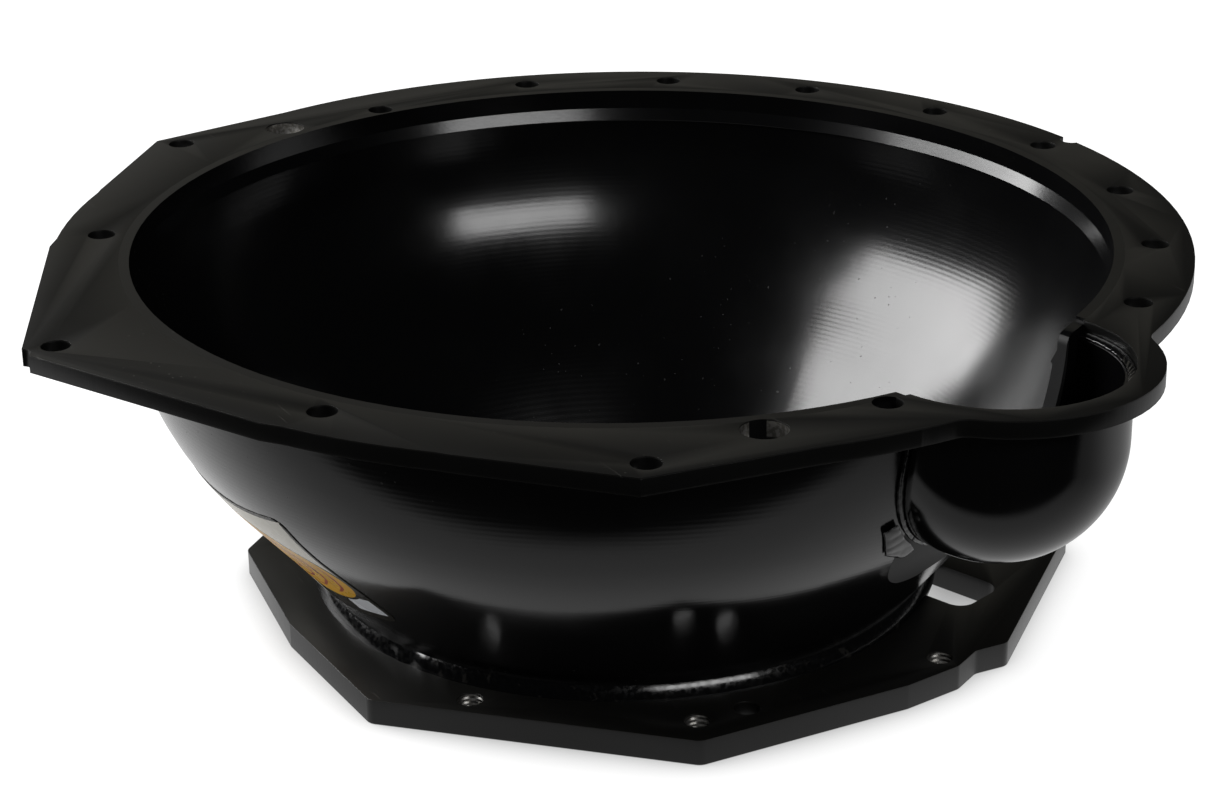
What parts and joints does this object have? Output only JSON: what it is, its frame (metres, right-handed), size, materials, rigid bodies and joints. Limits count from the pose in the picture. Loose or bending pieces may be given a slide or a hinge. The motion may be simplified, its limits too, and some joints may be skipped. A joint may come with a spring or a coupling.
{
  "type": "engine bellhousing",
  "caption": "Spun steel bellhousing with a laser-cut engine plate, a thicker tapped transmission plate and a welded starter pocket, coated black.",
  "frame": {"origin": "on the crank axis, in the plane of the transmission face", "axes": "+Z along the crank axis towards the engine, +Y towards the top centre bolt of the engine pattern, +X to the side away from the starter pocket"},
  "size_m": [0.4373, 0.4399, 0.142],
  "materials": {
    "plate_coat": "satin black powder coat on a flat laser-cut plate",
    "gloss_coat": "gloss black powder coat with fine spinning ridges",
    "pocket_coat": "gloss black powder coat",
    "weld_coat": "gloss black powder coat over rippled weld metal",
    "label_vinyl": null
  },
  "bodies": {
    "root": {"engine_flange": "plate_coat", "bell_shell": "gloss_coat", "starter_pocket": "pocket_coat", "transmission_flange": "plate_coat", "engine_flange_top_weld": "weld_coat", "engine_flange_left_weld": "weld_coat", "engine_flange_right_weld": "weld_coat", "engine_flange_bottom_weld": "weld_coat", "transmission_flange_weld": "weld_coat", "pocket_outer_weld": "weld_coat", "pocket_inner_weld": "weld_coat", "pocket_front_seam_weld": "weld_coat", "pocket_base_weld": "weld_coat", "pocket_rear_seam_weld": "weld_coat", "seam_corner_patch": "weld_coat", "label": "label_vinyl"}
  },
  "joints": []
}
